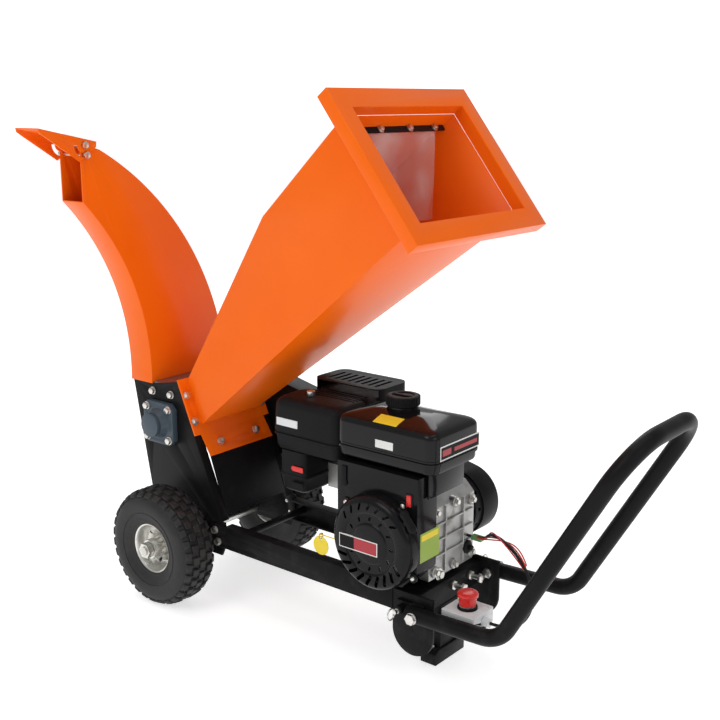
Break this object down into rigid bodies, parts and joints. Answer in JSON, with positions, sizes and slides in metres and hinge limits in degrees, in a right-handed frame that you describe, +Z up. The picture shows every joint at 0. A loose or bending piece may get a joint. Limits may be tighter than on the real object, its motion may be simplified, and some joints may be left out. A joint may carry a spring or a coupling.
{
  "type": "wood chipper",
  "caption": "Towed drum wood chipper: engine and belt-driven rotor on a two-wheel frame, sloping feed hopper, side discharge chute with a tilting hood, folding tow handle.",
  "frame": {"origin": "centre of the front foot's sole, on the ground and on the centre line", "axes": "+X towards the tow handle, +Y to the machine's left, +Z up"},
  "size_m": [1.2575, 0.611, 1.1058],
  "materials": {
    "tyre_rubber": "matt black rubber",
    "zinc_rim": "zinc plated pressed steel",
    "black_frame": "satin black powder coat",
    "raw_steel": "bare steel with a mill finish",
    "bearing_paint": "blue-grey enamel on cast iron",
    "orange_coat": "glossy orange powder coat",
    "clear_curtain": "clear soft sheet",
    "cast_aluminium": "bare cast aluminium",
    "engine_black": "gloss black covers",
    "tank_enamel": "gloss black enamel on pressed steel",
    "muffler_steel": "heat resistant black",
    "belt_rubber": "matt black rubber",
    "cable_sleeve": "black sleeve",
    "red_plastic": "signal red plastic",
    "grey_plastic": "light grey plastic",
    "zinc_bolts": "zinc plated fasteners",
    "tag_card": "yellow printed card with no lettering"
  },
  "bodies": {
    "chassis": {"axle": "zinc_rim", "side_rails": "black_frame", "engine_deck": "black_frame", "cross_members": "black_frame", "handle_brackets": "black_frame", "foot_pad": "black_frame", "rotor_side_left": "black_frame", "rotor_side_right": "black_frame", "rotor_casing": "raw_steel", "bed_knife": "raw_steel", "front_panel": "black_frame", "bearing_units": "bearing_paint", "drive_belts": "belt_rubber", "belt_guard_back": "black_frame", "belt_guard": "black_frame", "clutch_cover": "engine_black", "chute": "orange_coat", "hopper": "orange_coat", "hopper_rim": "orange_coat", "curtain_bar": "black_frame", "crankcase": "cast_aluminium", "cylinder": "cast_aluminium", "fan_shroud": "engine_black", "recoil_cover": "engine_black", "fuel_tank": "tank_enamel", "air_cleaner_cover": "engine_black", "air_cleaner_base": "engine_black", "carburettor": "cast_aluminium", "muffler": "muffler_steel", "muffler_guard": "muffler_steel", "frame_bolts": "zinc_bolts", "stop_cable": "cable_sleeve", "hang_tag": "tag_card"},
    "wheel_left": {"tyre_left": "tyre_rubber", "rim_left": "zinc_rim"},
    "wheel_right": {"tyre_right": "tyre_rubber", "rim_right": "zinc_rim"},
    "rotor": {"rotor_drum": "raw_steel", "rotor_knives": "raw_steel", "rotor_pulley": "raw_steel"},
    "crank": {"crankshaft": "raw_steel", "flywheel": "cast_aluminium", "engine_pulley": "raw_steel"},
    "hood": {"chute_hood": "orange_coat"},
    "curtain": {"feed_curtain": "clear_curtain"},
    "handle": {"handle_tube": "black_frame", "stop_box": "grey_plastic", "stop_lid": "grey_plastic"},
    "lock_left": {"lock_pin_left": "raw_steel"},
    "lock_right": {"lock_pin_right": "raw_steel"},
    "stem": {"stop_stem": "raw_steel"},
    "button": {"stop_button": "red_plastic"},
    "cap": {"fuel_cap": "engine_black"},
    "knob": {"air_cleaner_knob": "engine_black"},
    "choke": {"choke_lever": "engine_black"},
    "tap": {"fuel_tap": "engine_black"},
    "throttle": {"throttle_lever": "engine_black"},
    "switch": {"engine_switch": "red_plastic"},
    "grip": {"starter_grip": "engine_black"}
  },
  "joints": [
    {"name": "wheel_left_spin", "type": "hinge", "parent": "chassis", "child": "wheel_left", "pos_m": [-0.625, 0.183, 0.131], "axis": [0, 1, 0], "continuous": true},
    {"name": "wheel_right_spin", "type": "hinge", "parent": "chassis", "child": "wheel_right", "pos_m": [-0.625, -0.183, 0.131], "axis": [0, 1, 0], "continuous": true},
    {"name": "rotor_spin", "type": "hinge", "parent": "chassis", "child": "rotor", "pos_m": [-0.687, 0, 0.385], "axis": [0, 1, 0], "continuous": true},
    {"name": "crank_spin", "type": "hinge", "parent": "chassis", "child": "crank", "pos_m": [-0.065, 0, 0.27], "axis": [0, 1, 0], "continuous": true},
    {"name": "hood_tilt", "type": "hinge", "parent": "chassis", "child": "hood", "pos_m": [-0.753, -0.266, 0.996], "axis": [1, 0, 0], "range_deg": [0, 85]},
    {"name": "curtain_swing", "type": "hinge", "parent": "chassis", "child": "curtain", "pos_m": [-0.136, 0, 1.0309], "axis": [0, 1, 0], "range_deg": [-30, 40]},
    {"name": "handle_fold", "type": "hinge", "parent": "chassis", "child": "handle", "pos_m": [0.032, 0, 0.146], "axis": [0, -1, 0], "range_deg": [0, 40], "deforming": ["stop_cable"]},
    {"name": "lock_pin_left_pull", "type": "slide", "parent": "handle", "child": "lock_left", "axis": [0, 1, 0], "range_m": [0, 0.012]},
    {"name": "lock_pin_right_pull", "type": "slide", "parent": "handle", "child": "lock_right", "axis": [0, -1, 0], "range_m": [0, 0.012]},
    {"name": "stop_push", "type": "slide", "parent": "handle", "child": "stem", "axis": [0, 0, -1], "range_m": [0, 0.006]},
    {"name": "stop_twist", "type": "hinge", "parent": "stem", "child": "button", "pos_m": [0.11, -0.082, 0.2], "axis": [0, 0, 1], "range_deg": [0, 45]},
    {"name": "cap_twist", "type": "hinge", "parent": "chassis", "child": "cap", "pos_m": [-0.079, -0.034, 0.53], "axis": [0, 0, 1], "range_deg": [0, 90]},
    {"name": "knob_twist", "type": "hinge", "parent": "chassis", "child": "knob", "pos_m": [-0.297, -0.055, 0.5], "axis": [0, 0, 1], "continuous": true},
    {"name": "choke_turn", "type": "hinge", "parent": "chassis", "child": "choke", "pos_m": [-0.309, -0.098, 0.352], "axis": [0, -1, 0], "range_deg": [0, 60]},
    {"name": "tap_turn", "type": "hinge", "parent": "chassis", "child": "tap", "pos_m": [-0.309, -0.098, 0.318], "axis": [0, 1, 0], "range_deg": [0, 90]},
    {"name": "throttle_turn", "type": "hinge", "parent": "chassis", "child": "throttle", "pos_m": [-0.151, -0.126, 0.366], "axis": [0, 1, 0], "range_deg": [-20, 30]},
    {"name": "switch_rock", "type": "hinge", "parent": "chassis", "child": "switch", "pos_m": [-0.005, -0.1255, 0.348], "axis": [1, 0, 0], "range_deg": [-8, 8]},
    {"name": "starter_pull", "type": "slide", "parent": "chassis", "child": "grip", "axis": [0.7986, 0, 0.6018], "range_m": [0, 0.6]}
  ],
  "couplings": [
    {"joint": "crank_spin", "follows": "rotor_spin", "ratio": 1}
  ]
}
